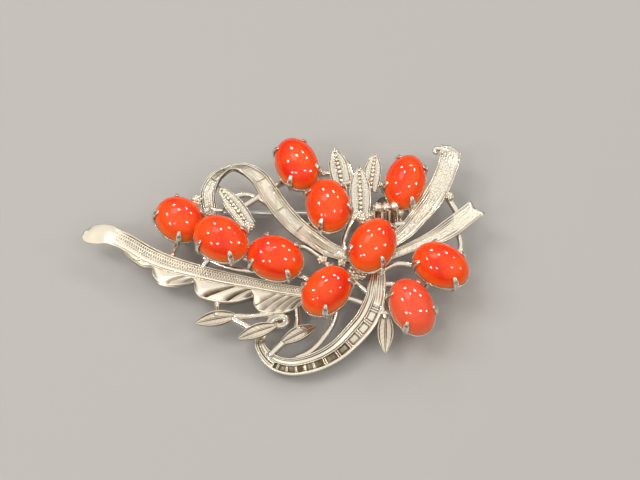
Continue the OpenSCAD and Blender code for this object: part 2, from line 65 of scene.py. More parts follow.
# Ribbons: x, y, height, width, bank
FEATHER = [
    [-32.1, 3.4, 4.2, 1.3, 0],
    [-31.3, 3.2, 4.2, 2.7, -4],
    [-29.9, 3.2, 4.4, 3.3, -8],
    [-28.2, 3.1, 4.6, 3.2, -12],
    [-26.4, 2.2, 4.9, 2.8, -14],
    [-24.6, 1.2, 5.0, 2.8, -14],
    [-21.1, -1.0, 5.0, 2.8, -14],
    [-17.4, -2.6, 4.9, 2.6, -14],
    [-12.4, -4.1, 4.8, 2.3, -14],
    [-7.9, -5.2, 4.7, 2.1, -12],
    [-3.6, -6.1, 4.6, 1.9, -10],
    [0.2, -6.9, 4.6, 1.8, -8],
    [5.0, -7.8, 4.6, 1.7, 0],
]
LOOP = [
    [-11.4, 5.2, 4.5, 2.2, 0],
    [-12.1, 8.3, 4.8, 2.6, 2],
    [-12.3, 10.4, 5.3, 2.6, 6],
    [-11.8, 11.9, 5.9, 2.5, 14],
    [-10.7, 13.3, 6.4, 2.4, 26],
    [-8.6, 14.4, 6.8, 2.3, 42],
    [-6.4, 14.3, 6.8, 2.7, 20],
    [-4.1, 12.7, 6.7, 3.0, 8],
    [-2.5, 10.2, 6.5, 3.2, 4],
    [-0.6, 7.1, 6.4, 3.2, 0],
    [1.1, 4.9, 6.3, 3.2, 0],
    [2.9, 3.1, 6.0, 3.1, 0],
    [5.2, 1.4, 5.6, 2.9, 0],
    [7.8, -0.3, 5.3, 2.6, 0],
    [12.2, -2.0, 5.0, 1.6, 0],
]
TALL = [
    [27.8, 18.4, 5.8, 3.4, 0],
    [27.5, 16.6, 6.2, 3.5, 0],
    [26.7, 14.0, 6.3, 3.4, 0],
    [25.3, 10.9, 6.0, 3.5, 0],
    [23.6, 8.1, 5.7, 3.4, 0],
    [21.7, 5.5, 5.8, 3.0, 0],
    [19.7, 3.1, 5.5, 2.6, 0],
    [16.4, 0.4, 5.1, 1.8, 0],
]
SHORT = [
    [31.4, 7.5, 5.6, 3.3, 0],
    [29.4, 5.7, 5.7, 3.3, 0],
    [27.0, 3.7, 5.7, 3.3, 0],
    [24.6, 2.1, 5.6, 2.8, 0],
    [21.3, 0.6, 5.4, 1.9, 0],
    [16.4, -1.5, 5.0, 1.3, 0],
]
LADDER = [
    [15.1, -3.4, 5.1, 2.1, 0],
    [15.0, -4.8, 5.1, 2.5, 0],
    [14.8, -6.7, 4.9, 3.0, 4],
    [14.5, -8.8, 4.6, 3.4, 8],
    [13.2, -11.7, 4.1, 3.6, 12],
    [11.4, -13.9, 3.6, 3.6, 16],
    [8.9, -16.35, 3.1, 3.3, 20],
    [6.3, -17.9, 2.7, 3.1, 22],
    [3.6, -18.75, 2.4, 2.9, 24],
    [1.2, -18.9, 2.2, 2.7, 24],
    [-1.0, -18.2, 2.2, 2.4, 22],
    [-2.6, -16.7, 2.3, 1.9, 16],
    [-3.3, -15.0, 2.4, 1.6, 10],
    [-2.8, -13.9, 2.5, 1.2, 0],
]
# The curl at the ladder's end: points and radii of its wire
CURL = [
    [-2.9, -14.2, 2.4, 0.60],
    [-2.3, -12.7, 2.7, 0.64],
    [-1.5, -11.4, 2.9, 0.62],
    [-0.4, -10.9, 3.0, 0.58],
    [0.6, -11.1, 3.0, 0.56],
    [0.7, -11.8, 2.9, 0.54],
    [0.1, -12.3, 2.8, 0.50],
    [-0.9, -12.3, 2.8, 0.44],
    [-1.3, -11.9, 2.6, 0.34],
    [-0.6, -11.6, 2.3, 0.40],
]
# In the same way, the curled tip at the tall ribbon's left corner, the roll behind its top edge and the
# small scroll at the foot of the loop
TALL_HOOK = [
    [25.7, 18.3, 5.3, 0.26],
    [25.2, 18.4, 5.5, 0.32],
    [25.2, 18.9, 5.7, 0.38],
    [26.0, 19.0, 5.7, 0.48],
    [27.3, 18.6, 5.6, 0.52],
]
TALL_ROLL = [
    [26.4, 18.8, 5.5, 0.50],
    [27.9, 18.7, 5.5, 0.54],
    [29.2, 17.8, 5.4, 0.46],
]
SCROLL = [
    [-12.1, 8.3, 4.8, 0.30],
    [-11.5, 7.6, 5.0, 0.42],
    [-10.7, 7.3, 5.0, 0.42],
    [-9.8, 7.5, 4.9, 0.36],
    [-9.4, 8.0, 4.8, 0.24],
]

# Feather lobes: points along the band, points along the free rim, heights of band and rim, places of the
# hollows along the rim, how far a hollow runs along the lobe on its way up to the band, their depth
LOBES = [
    [[[-25.9, 0.65], [-24.2, -0.3], [-22.1, -1.6], [-20.2, -2.4]],
     [[-25.9, 0.7], [-24.2, -1.2], [-22.2, -2.6], [-20.3, -2.8]], [4.6, 4.2], [0.45], 0.30, 0.12],
    [[[-20.8, -2.2], [-18.9, -3.0], [-17.0, -3.7], [-15.2, -4.3], [-13.4, -4.7]],
     [[-20.6, -2.7], [-20.5, -3.9], [-19.4, -5.2], [-17.4, -5.7], [-15.4, -5.5], [-13.4, -5.0]],
     [4.6, 3.7], [0.48, 0.84], 0.40, 0.17],
    [[[-13.9, -4.6], [-11.6, -5.05], [-9.3, -5.6], [-7.2, -6.1], [-4.2, -6.6]],
     [[-13.8, -5.5], [-13.6, -6.8], [-12.6, -7.8], [-9.7, -8.6], [-6.9, -8.5], [-4.2, -7.5]],
     [4.5, 3.6], [0.28, 0.60, 0.90], 0.46, 0.34],
    [[[-4.8, -6.6], [-3.1, -6.9], [-1.1, -7.3], [1.1, -7.7], [4.0, -8.1]],
     [[-4.4, -7.9], [-4.3, -9.1], [-3.3, -10.2], [-1.0, -10.6], [1.3, -10.2], [3.4, -8.9]],
     [4.5, 3.6], [0.14, 0.30, 0.46, 0.62, 0.79], 0.34, 0.22],
]

# Leaves: tip, root, width
BEADED_LEAVES = [
    [[-10.7, 11.6, 5.7], [-5.4, 4.2, 5.4], 3.0],
    [[8.3, 18.5, 6.6], [9.8, 11.2, 5.4], 3.5],
    [[12.4, 14.7, 6.9], [12.6, 5.8, 5.5], 3.6],
    [[15.2, 17.6, 6.4], [14.2, 10.9, 5.2], 3.0],
]
PLAIN_LEAVES = [
    [[-13.3, -12.0, 3.1], [-7.0, -10.8, 3.3], 2.6],
    [[-6.6, -14.8, 3.4], [-0.7, -12.6, 3.6], 2.4],
    [[-0.1, -15.4, 2.9], [5.3, -12.5, 3.1], 2.4],
    [[16.0, -16.7, 2.4], [16.2, -10.5, 3.7], 2.6],
]
LEAF_ARCH = 0.35
LEAF_THICK = 0.7
BEAD_PITCH = 0.80
RIBBON_THICK = 0.7
# Points across the top of a ribbon, across the top of a leaf and across the plain back of either
RIBBON_POINTS = 52
LEAF_POINTS = 40
BACK_POINTS = 5
# Points round a stone and round the rim of its seat
STONE_POINTS = 80
RIM_POINTS = 72
# Points along a leaf, and places along it where a bead may sit
LEAF_STEPS = 100
BEAD_STEPS = 90

# Depth at which a hollow gets its full tarnish and painted shade
HOLLOW_DEPTH = 0.06
# Pitch of the feather's dotted rows, lines chased across the loop as shares of its length
DOT_PITCH = 0.42
LOOP_LINES = (0.20, 0.26, 0.44, 0.60, 0.72)
# The ladder's windows: their pitch, the shift of the first, where they start and end as shares of the
# length, from how many millimetres on they stand closer together, and how many more there are a millimetre
LADDER_PITCH = 2.2
LADDER_SHIFT = 0.06
LADDER_START = 0.19
LADDER_END = 0.82
LADDER_CLOSER_FROM = 19.0
LADDER_CLOSER_BY = 0.286

# Joining wires: points from end to end
WIRES = [
    [[-16.6, 3.6, 3.3], [-17.4, -0.6, 4.6], [-18.0, -2.2, 4.5]],
    [[-10.4, -0.9, 5.6], [-12.2, -2.6, 5.0], [-12.7, -3.5, 4.4]],
    [[-0.4, -4.4, 4.3], [0.5, -6.6, 4.2]],
    [[-12.4, -1.5, 5.0], [-8.5, -3.1, 4.8], [-4.8, -3.7, 4.6], [2.6, -4.5, 4.6], [5.6, -6.6, 4.7]],
    [[11.2, -1.4, 5.1], [9.7, 0.9, 5.1], [11.0, 5.0, 5.3], [12.5, 6.6, 5.5]],
    [[0.6, -1.8, 4.6], [2.9, 0.6, 5.0], [6.9, -2.4, 5.0], [8.4, -6.4, 4.8]],
    [[26.5, 10.6, 5.2], [28.9, 5.7, 4.95]],
    [[27.4, 3.6, 5.0], [28.3, 2.6, 4.9], [28.3, 0.0, 4.7], [25.8, -3.0, 4.2]],
    [[15.4, -3.8, 4.5], [18.6, -2.5, 4.9], [24.0, -3.6, 4.3]],
    [[-2.3, 11.0, 6.1], [1.4, 13.6, 4.7]],
    [[-3.2, 9.8, 6.1], [-6.9, 7.6, 5.2]],
    [[-9.0, 9.2, 5.4], [-6.4, 10.0, 5.6], [-4.4, 9.4, 5.8], [-2.2, 8.0, 5.8]],
    [[2.5, 13.6, 4.7], [4.2, 9.0, 5.2], [6.6, 6.9, 5.5]],
    [[20.3, -9.8, 3.6], [22.4, -6.2, 3.9], [24.2, -4.6, 4.2]],
    [[15.6, -9.6, 4.2], [16.2, -11.4, 3.6]],
    [[15.6, -5.8, 4.4], [18.4, -6.4, 4.3], [20.0, -9.8, 3.6]],
    [[12.6, -2.8, 5.4], [10.8, -5.0, 5.0], [8.2, -7.6, 4.7]],
    [[10.8, -5.0, 5.0], [13.8, -7.6, 4.2]],
    [[-7.3, -10.9, 3.3], [-4.5, -10.9, 3.2], [-1.3, -10.4, 3.1]],
    [[-7.6, -11.2, 3.2], [-4.6, -13.1, 3.3]],
    [[-10.0, -10.9, 3.3], [-10.1, -9.1, 2.9], [-10.2, -7.8, 3.2]],
    [[2.5, -13.0, 3.0], [2.5, -10.8, 2.9], [2.3, -9.2, 3.2]],
    [[0.3, -15.2, 2.8], [-1.7, -17.2, 2.4]],
    [[8.6, -9.9, 4.6], [7.9, -12.6, 3.9], [6.2, -15.1, 3.2], [4.4, -16.8, 2.8], [2.4, -17.7, 2.4]],
    [[8.0, -8.4, 4.6], [10.6, -8.4, 4.4], [13.4, -9.4, 4.0]],
    [[8.9, 17.2, 5.7], [10.5, 15.9, 5.9], [11.4, 13.4, 6.0], [12.3, 11.0, 6.2]],
    [[3.0, 14.8, 4.7], [6.6, 14.2, 5.4], [8.8, 14.4, 5.9]],
    [[9.6, 12.0, 5.4], [12.4, 12.2, 6.3]],
    [[12.8, 12.0, 6.3], [15.0, 12.6, 5.2], [19.3, 11.4, 4.1]],
    [[6.6, 5.6, 5.5], [3.4, 3.6, 5.5]],
    [[-9.8, 1.4, 5.5], [-11.6, 6.4, 4.5]],
    [[-15.6, 5.2, 3.4], [-12.2, 7.8, 4.6]],
    [[-8.2, 0.4, 5.6], [-5.8, 2.7, 5.3], [-5.7, 4.7, 5.4]],
    [[-8.6, -0.8, 5.5], [-2.0, -2.7, 4.3]],
    [[19.2, 10.6, 4.1], [17.2, 6.6, 4.7], [16.4, 3.6, 5.0], [15.2, 1.2, 5.4]],
    [[20.3, 10.2, 4.1], [20.8, 6.2, 5.3]],
    [[19.0, -10.6, 3.5], [15.4, -10.6, 4.0]],
    [[12.6, 6.2, 5.4], [15.2, 4.7, 4.9], [19.6, 4.7, 5.2]],
]
WIRE_THICK = 1.0

# Stamens: foot, top, bead radius
STAMENS = [
    [[15.4, 4.3, 5.0], [15.3, 6.7, 6.9], 0.85],
    [[16.6, 4.4, 5.0], [16.6, 6.7, 7.0], 0.75],
    [[17.8, 4.6, 5.0], [17.9, 6.7, 7.3], 0.85],
    [[14.9, 4.8, 4.9], [14.5, 6.0, 5.9], 0.50],
    [[18.5, 5.0, 4.9], [19.0, 6.2, 6.2], 0.50],
]
POLISHED_STAMEN = 2
# Ribs round a stamen's stem, granules on its top, lumps on a solder bead
STEM_RIBS = 7
GRANULES = 16
LUMPS = 11
# Solder beads: x, y, height, radius
NODULES = [
    [-14.1, 9.1, 5.2, 0.95],
    [6.3, -1.9, 5.1, 0.85],
    [9.6, -2.6, 5.2, 0.75],
    [11.3, -4.1, 5.1, 1.05],
    [12.4, -4.6, 5.0, 0.85],
    [11.0, -5.6, 4.9, 0.80],
    [11.3, 6.0, 5.4, 0.75],
    [12.5, 5.6, 5.3, 0.75],
    [13.7, 6.0, 5.4, 0.75],
    [-5.3, 4.0, 5.3, 0.80],
    [27.0, 9.4, 5.9, 0.70],
]

# Middles of the pads that carry the hinge and the catch, and of the post under the ladder's curl
HINGE = [17.0, 9.0]
CATCH = [-12.3, 9.0]
FOOT = [0.9, -11.4]
# Step in radians from bead to bead, at which a row of them spreads evenly round a dome
BEAD_TURN = 2.4


class Shape:
    """Points and faces in millimetres, with a mark a point that its material reads."""

    def __init__(self):
        self.points = []
        self.faces = []
        self.marks = []

    def add(self, points, faces, mark=0.0):
        points = np.asarray(points, float).reshape(-1, 3)
        start = len(self.points)
        self.points.extend(points.tolist())
        self.faces.extend([[start + corner for corner in face] for face in faces])
        self.marks.extend(np.broadcast_to(np.ravel(mark), (len(points),)).tolist())

    def piece(self, name, material, node="silver_frame", mark="hollow"):
        """The finished mesh, riding on the brooch in place of its plain solid.

        The mark is the depth of hollows in silver, read as tarnish and painted shade, and the height over a
        stone's back in coral.
        """
        mesh = bpy.data.meshes.new(name)
        mesh.from_pydata(((np.array(self.points) + SHIFT) * MM).tolist(), [], self.faces)
        mesh.attributes.new(mark, "FLOAT", "POINT").data.foreach_set("value", self.marks)
        work = bmesh.new()
        work.from_mesh(mesh)
        bmesh.ops.recalc_face_normals(work, faces=work.faces)
        work.to_mesh(mesh)
        work.free()
        mesh.shade_smooth()
        mesh.materials.append(material)
        made = bpy.data.objects.new(name, mesh)
        bpy.context.collection.objects.link(made)
        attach(made, "brooch")
        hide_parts(node)
        return made


def spline(rows, step):
    """A smooth line through the rows, in points about step apart, with its length at each point."""
    rows = np.array(rows, float)
    ends = np.vstack([rows[:1], rows, rows[-1:]])
    dense = []
    for i in range(len(rows) - 1):
        p, q, r, s = ends[i:i + 4]
        for t in np.linspace(0, 1, 20, endpoint=False):
            dense.append(0.5 * (2 * q + (r - p) * t + (2 * p - 5 * q + 4 * r - s) * t ** 2
                                + (3 * q - p - 3 * r + s) * t ** 3))
    dense = np.array(dense + [rows[-1]])
    run = np.concatenate([[0], np.cumsum(np.linalg.norm(np.diff(dense[:, :3], axis=0), axis=1))])
    marks = np.linspace(0, run[-1], max(3, round(run[-1] / step) + 1))
    return np.column_stack([np.interp(marks, run, column) for column in dense.T]), marks


def unit(rows):
    """Each row at length 1."""
    return rows / np.maximum(np.linalg.norm(rows, axis=-1, keepdims=True), 1e-9)


def frames(path, bank=0.0):
    """Sideways and upward directions at each point of a path."""
    way = unit(np.gradient(path[:, :3], axis=0))
    flat = unit(np.cross(way, [0.0, 0.0, 1.0]))
    bank = np.radians(np.broadcast_to(bank, (len(path),)))[:, None]
    side = flat * np.cos(bank) + np.cross(flat, way) * np.sin(bank)
    return side, np.cross(side, way)


def skin(rings, capped=True):
    """Faces of a tube whose rings of points follow each other."""
    count, size = rings.shape[:2]
    faces = []
    for i in range(count - 1):
        for j in range(size):
            k = (j + 1) % size
            faces.append([i * size + j, i * size + k, (i + 1) * size + k, (i + 1) * size + j])
    if capped:
        faces.append(list(range(size)))
        faces.append([(count - 1) * size + j for j in range(size)])
    return faces


def ease(x, low, high):
    """0 below low, 1 above high, and smooth between them."""
    t = np.clip((x - low) / (high - low), 0, 1)
    return t * t * (3 - 2 * t)


def line(u, at, half, height):
    """A round raised line across a strip."""
    return height * np.clip(1 - ((u - at) / half) ** 2, 0, None) ** 0.7


def notch(u, at, half):
    """A soft groove across a strip, 1 at its middle."""
    return np.exp(-((u - at) / half) ** 2)


def outward(rise, turn):
    """Direction of length 1 at an angle above the level and an angle round the upright."""
    return np.array([math.cos(rise) * math.cos(turn), math.cos(rise) * math.sin(turn), math.sin(rise)])


def punched(across, along, pitch=0.40):
    """Punched grain over a surface given in millimetres: 1 on a grain, 0 in the pits between."""
    x, y = across / pitch, along / pitch
    near = np.full(np.broadcast_shapes(x.shape, y.shape), 9.0)
    for i in (-1, 0, 1):
        for j in (-1, 0, 1):
            column, row = np.floor(x) + i, np.floor(y) + j
            stray = np.sin(column * 12.99 + row * 78.23) * 43758.5
            stray_x, stray_y = stray - np.floor(stray), stray * 7.3 - np.floor(stray * 7.3)
            gap = np.hypot(column + 0.25 + 0.5 * stray_x - x, row + 0.25 + 0.5 * stray_y - y)
            near = np.minimum(near, gap)
    return np.clip(1 - near / 0.65, 0, 1) ** 0.7


def cavity(heights, reach):
    """How deep each point of a relief lies below its surroundings, from 0 to 1."""
    blurred = np.pad(heights, reach, mode="edge")
    for axis in (0, 1):
        total = np.zeros_like(blurred)
        for move in range(-reach, reach + 1):
            total += np.roll(blurred, move, axis)
        blurred = total / (2 * reach + 1)
    return np.clip((blurred[reach:-reach, reach:-reach] - heights) / HOLLOW_DEPTH, 0, 1)


def ribbon(shape, rows, relief, step=0.09, ends=None):
    """A strip whose top is sculpted by relief(u, s, share, width), over a plain back.

    u runs across it from -0.5 to 0.5, s along it in millimetres, share along it from 0 to 1. The relief
    gives heights and tarnish with painted shade in the hollows, and ends(u, s) how far a point is moved
    along the strip.
    """
    path, run = spline(rows, step)
    side, up = frames(path, path[:, 4])
    u = np.linspace(-0.5, 0.5, RIBBON_POINTS)[None, :]
    s = run[:, None]
    share = s / run[-1]
    heights, painted_shade_and_tarnish = relief(u, s, share, path[:, 3][:, None])
    heights = heights + np.zeros((len(path), RIBBON_POINTS))
    painted_shade_and_tarnish = painted_shade_and_tarnish + np.zeros((len(path), RIBBON_POINTS))
    width = path[:, 3][:, None, None]
    place = path[:, None, :3]
    way = unit(np.gradient(path[:, :3], axis=0))[:, None, :]
    lead = ends(u, s)[:, :, None] * way if ends else 0.0
    top = place + lead + side[:, None] * u[:, :, None] * width + up[:, None] * heights[:, :, None]
    under = np.linspace(0.5, -0.5, BACK_POINTS)[None, :]
    back_lead = ends(under, s)[:, :, None] * way if ends else 0.0
    tuck = 1 - 0.06 * (np.abs(under) > 0.4)
    back = (place + back_lead + side[:, None] * (under * tuck)[:, :, None] * width
            - up[:, None] * RIBBON_THICK / 2)
    rings = np.concatenate([top, back], axis=1)
    # Tarnish and painted shade, deepest in the relief's hollows, with a painted shade on the plain back
    shade = np.full((len(path), BACK_POINTS), 0.3)
    hollow = np.concatenate([np.clip(cavity(heights, 3) + painted_shade_and_tarnish, 0, 1), shade], axis=1)
    shape.add(rings, skin(rings, capped=False) + strip_ends(len(path)), hollow)


def strip_ends(count):
    """Faces that close both ends of a strip, between the points of its top and of its back."""
    size = RIBBON_POINTS + BACK_POINTS
    faces = []
    for start in (0, (count - 1) * size):
        for j in range(RIBBON_POINTS - 1):
            below = size - 1 - round(j * (BACK_POINTS - 1) / (RIBBON_POINTS - 1))
            after = size - 1 - round((j + 1) * (BACK_POINTS - 1) / (RIBBON_POINTS - 1))
            faces.append([start + j, start + j + 1, start + below])
            if after != below:
                faces.append([start + j + 1, start + after, start + below])
    return faces


def tube(shape, points, radius, sides=10, step=0.35, flat=1.0, across=None, crease=0.0, painted_shade_and_tarnish=0.0):
    """A wire along a smooth line, with rounded ends.

    Its radius is one number or a number a point, flat its height over its width, across a direction that
    its width keeps to, crease the depth of a groove along both its edges, which gets tarnish and painted
    shade, and the last argument the least tarnish and painted shade on it.
    """
    rows = np.column_stack([np.array(points, float), np.broadcast_to(radius, (len(points),))])
    path, _ = spline(rows, step)
    side, up = frames(path)
    way = unit(np.gradient(path[:, :3], axis=0))
    if across is not None:
        across = np.array(across, float)
        side = unit(across - way * (way @ across)[:, None])
        up = np.cross(side, way)
    turn = np.radians(np.arange(sides) * 360 / sides)
    size = path[:, 3][:, None, None]
    groove = notch(np.abs(np.degrees(turn) - 180), 90, 22) * (crease > 0)
    reach = (1 - crease * groove)[None, :, None]
    rings = (path[:, None, :3] + side[:, None] * np.cos(turn)[None, :, None] * size
             + up[:, None] * (np.sin(turn)[None, :, None] * reach) * size * flat)
    first = path[0, :3] + (rings[0] - path[0, :3]) * 0.6 - way[0] * path[0, 3] * 0.35
    last = path[-1, :3] + (rings[-1] - path[-1, :3]) * 0.6 + way[-1] * path[-1, 3] * 0.35
    rings = np.concatenate([first[None], rings, last[None]])
    # Tarnish and painted shade in the grooves along the edges, and at least the given amount all over
    shape.add(rings, skin(rings), np.tile(np.maximum(0.6 * groove, painted_shade_and_tarnish), len(rings)))


def ball(shape, centre, radius, sides=12, rings=7, squash=1.0):
    """A round bead, pressed flat by squash, with tarnish and a painted shade round its foot and lower side.
    """
    turn = np.radians(np.arange(sides) * 360 / sides)
    rise = np.radians(np.linspace(-80, 80, rings))
    loops = np.stack([
        np.column_stack([np.cos(turn) * np.cos(r), np.sin(turn) * np.cos(r),
                         np.full(sides, np.sin(r) * squash)]) for r in rise])
    # Tarnish and painted shade, darker towards the bead's underside
    foot = np.repeat(0.5 * (1 - ease(np.sin(rise), -0.1, 0.4)), sides)
    shape.add(np.array(centre, float) + loops * radius, skin(loops), foot)


# Reliefs of the ribbons: heights over the strip's middle plane, and extra tarnish and painted shade


def feather_relief(u, s, share, width):
    """A plain paddle at the tip, then fine rails and three dotted rows."""
    dressed = ease(share, 0.10, 0.22)
    plain = 0.24 - 0.5 * u ** 2
    dots = 0.5 + 0.5 * np.cos(2 * math.pi * s / DOT_PITCH)
    off_dots = 1 - dots
    rails = line(u, -0.46, 0.05, 0.14) + line(u, -0.32, 0.035, 0.10)
    rails = rails + line(u, -0.14, 0.04, 0.10) + line(u, 0.07, 0.04, 0.10) + line(u, 0.28, 0.09, 0.08)
    upper, lower = line(u, -0.23, 0.06, 1.0), line(u, -0.035, 0.07, 1.0)
    third = line(u, 0.16, 0.045, 1.0)
    knurls = 0.10 * (upper * dots + lower * off_dots) + 0.06 * third * dots + line(u, 0.46, 0.05, 0.10)
    worn = 0.12 + 0.08 * np.cos(math.pi * u)
    heights = plain * (1 - dressed) + (worn + rails + knurls) * dressed
    # Tarnish and painted shade in the pits between the dots
    painted_shade_and_tarnish = 0.34 * (upper * off_dots + lower * dots) + 0.24 * third * off_dots
    return heights, painted_shade_and_tarnish * dressed + 0.06 * (1 - dressed)


def loop_relief(u, s, share, width):
    """Two rails along each edge and a punched panel, crossed by a few chased lines."""
    rails = line(np.abs(u), 0.46, 0.045, 0.22) + line(np.abs(u), 0.35, 0.04, 0.16)
    flute = line(np.abs(u), 0.24, 0.035, 0.13) * ease(share, 0.38, 0.46)
    chased = np.zeros_like(s)
    for place in LOOP_LINES:
        chased = chased + notch(share, place, 0.0035)
    panel = 1 - ease(np.abs(u), 0.22, 0.27)
    grain = punched(u * width, s, 0.34) * panel
    grooves = notch(np.abs(u), 0.405, 0.022) + notch(np.abs(u), 0.295, 0.022)
    # Tarnish and painted shade in the grooves, the chased lines and the pits of the grain
    painted_shade_and_tarnish = 0.75 * grooves + 0.5 * chased * panel + 0.22 * (panel - grain)
    return 0.08 + rails + flute + 0.065 * grain - 0.05 * chased * panel, painted_shade_and_tarnish


def punched_strip(u, s, width, lower, left, right, grooves):
    """Ground of a strip punched all over, but for its railed edges where lower is 1.

    It gives the ground's height, the panel between the edges, the grain on it and the grooves by the rails.
    """
    ground = 0.02 + 0.08 * np.cos(math.pi * u) + line(np.abs(u), 0.47, 0.04, 0.14)
    railed = np.maximum(ease(u, *left), 1 - ease(u, *right))
    panel = (1 - ease(np.abs(u), 0.42, 0.45)) * (1 - lower * railed)
    grain = punched(u * width, s) * panel
    return ground, panel, grain, lower * (notch(u, grooves[0], 0.022) + notch(u, grooves[1], 0.022))


def tall_relief(u, s, share, width):
    """Punched all over, with rails along its left edge in the lower half; its top turns up."""
    lower = ease(share, 0.36, 0.50)
    rails = line(u, 0.36, 0.035, 0.14) + line(u, 0.25, 0.035, 0.14) + line(u, -0.33, 0.09, 0.12)
    ground, panel, grain, grooves = punched_strip(
        u, s, width, lower, (0.16, 0.19), (-0.24, -0.21), (0.305, 0.415))
    turned_up = 0.40 * np.clip(1 - s / 1.5, 0, 1) ** 2
    heights = ground + rails * lower + (0.04 + 0.035 * lower) * grain + turned_up
    # Tarnish and painted shade in the pits of the grain and the grooves by the rails
    return heights, 0.18 * (panel - grain) + 0.8 * grooves


def short_relief(u, s, share, width):
    """Punched all over, with rails along its upper edge; its outer end bends down."""
    lower = ease(share, 0.20, 0.34)
    rails = line(u, 0.35, 0.035, 0.14) + line(u, 0.24, 0.035, 0.13) + line(u, -0.36, 0.06, 0.12) * lower
    ground, panel, grain, grooves = punched_strip(
        u, s, width, lower, (0.16, 0.19), (-0.30, -0.27), (0.295, 0.405))
    rolled = 0.2 * np.clip(1 - s / 0.6, 0, 1) ** 2
    heights = ground + rails * lower + 0.055 * grain - rolled
    # Tarnish and painted shade in the pits of the grain and the grooves by the rails
    return heights, 0.08 * (panel - grain) + 0.6 * grooves


def ladder_relief(u, s, share, width):
    """A broad outer rim, sunk windows parted by double crossbars, a smooth band and two inner rails."""
    rails = line(u, -0.41, 0.10, 0.20) + line(u, 0.07, 0.035, 0.14)
    rails = rails + line(u, 0.45, 0.05, 0.22) + line(u, 0.36, 0.035, 0.14)
    window = ease(u, -0.31, -0.285) * (1 - ease(u, 0.015, 0.035))
    window = window * (ease(share, LADDER_START, LADDER_START + 0.01)
                       * (1 - ease(share, LADDER_END, LADDER_END + 0.01)))
    # The windows stand closer together towards the curl, and are deeper there and darker with tarnish and
    # painted shade
    closer = LADDER_CLOSER_BY * np.clip(s - LADDER_CLOSER_FROM, 0, None)
    phase = (s / LADDER_PITCH + closer + LADDER_SHIFT) % 1.0
    bars = np.clip(line(phase, 0.11, 0.065, 1.0) + line(phase, 0.27, 0.065, 1.0), 0, 1)
    deep = ease(share, 0.30, 0.56)
    # The head is a flat tongue with fine ribs, out of which the rails grow
    head = 1 - ease(share, 0.06, 0.15)
    ribs = 0.035 * np.cos(2 * math.pi * 7.5 * u) * (1 - ease(share, 0.12, 0.24))
    ground = 0.12 * (1 - window) + ((0.14 + 0.26 * deep) * bars + 0.06 - 0.32 * deep) * window
    grooves = notch(u, 0.305, 0.02) + 0.6 * notch(u, 0.115, 0.015)
    tail = notch(u, -0.14, 0.07) * ease(share, LADDER_END, LADDER_END + 0.02)
    # Tarnish and painted shade on the window floors between the bars, in the grooves and along the tail
    painted_shade_and_tarnish = (0.05 + 0.85 * deep) * window * (1 - bars) + 0.55 * grooves * (1 - head) + 0.8 * tail
    return ground + rails * (1 - 0.7 * head) + ribs - 0.08 * tail, painted_shade_and_tarnish


def tall_ends(u, s):
    """The top slopes down to its right corner."""
    near = np.clip(1 - s / 1.6, 0, 1)
    return near * (1.5 * ease(-u, -0.1, 0.5) - 0.85)


def short_ends(u, s):
    """The outer end is cut with a shallow notch between two horns."""
    near = np.clip(1 - s / 1.6, 0, 1)
    return near * (0.55 * notch(u, 0.05, 0.28) - 0.35)


def lobe(shape, band, rim, heights, hollows, slant, depth):
    """A scalloped lobe of the feather: smooth faces parted by hollows that sweep from rim to band."""
    along, down = 190, 44
    edges = []
    for row in (band, rim):
        smooth_row, run = spline(np.column_stack([row, np.zeros(len(row))]), 0.05)
        marks = np.linspace(0, 1, along)
        edges.append(np.column_stack([np.interp(marks, run / run[-1], smooth_row[:, k]) for k in (0, 1)]))
    c = np.linspace(0, 1, along)[None, :]
    t = np.linspace(0, 1, down)[:, None]
    flat = edges[0][None] * (1 - t[:, :, None]) + edges[1][None] * t[:, :, None]
    place = c - slant * (1 - t) ** 1.5
    swell = 0.35 + 0.65 * np.sin(math.pi * t)
    valley, crest = np.zeros((down, along)), np.zeros((down, along))
    for spot in hollows:
        off = (place - spot) / swell
        valley = np.maximum(valley, notch(off, 0, np.where(off < 0, 0.095, 0.030)))
        crest = np.maximum(crest, notch(off, 0.065, 0.018))
    calm = 1 - ease(t, 0.84, 0.95)
    rolled = 0.10 * ease(t, 0.90, 0.95)
    drop = heights[0] * (1 - t) + heights[1] * t + 0.6 * LEAF_ARCH * np.sin(math.pi * t)
    z = drop + depth * (0.25 * crest - valley) * calm + rolled
    top = np.dstack([flat, z])
    back = np.dstack([flat, drop - LEAF_THICK + 0 * c])
    # Tarnish and painted shade in the hollows between the faces, and a painted shade on the lobe's back
    hollow = np.clip(0.95 * valley * calm * min(1, depth / 0.30), 0, 1)
    rings = np.concatenate([top, back[:, ::-1]], axis=1)
    shape.add(rings, skin(rings), np.concatenate([hollow, np.full((down, along), 0.4)], axis=1))


def marquise(t):
    """Half width share of a leaf pointed at both ends."""
    return np.sin(math.pi * (0.02 + 0.94 * t)) ** 0.8


def spade(t):
    """Half width share of a leaf pointed at its tip and broad at its root."""
    return np.sin(math.pi / 2 * np.clip(t / 0.55, 0.02, 1)) ** 0.85 * (1 - 0.18 * ease(t, 0.70, 1.0))


def leaf_frame(tip, root, outline, steps):
    """Middle line of a leaf with its half width share, sideways and upward directions."""
    t = np.linspace(0, 1, steps)
    tip, root = np.array(tip), np.array(root)
    middle = tip * (1 - t)[:, None] + root * t[:, None]
    middle[:, 2] += LEAF_ARCH * np.sin(math.pi * t)
    side, up = frames(middle)
    return t, middle, outline(t), side, up


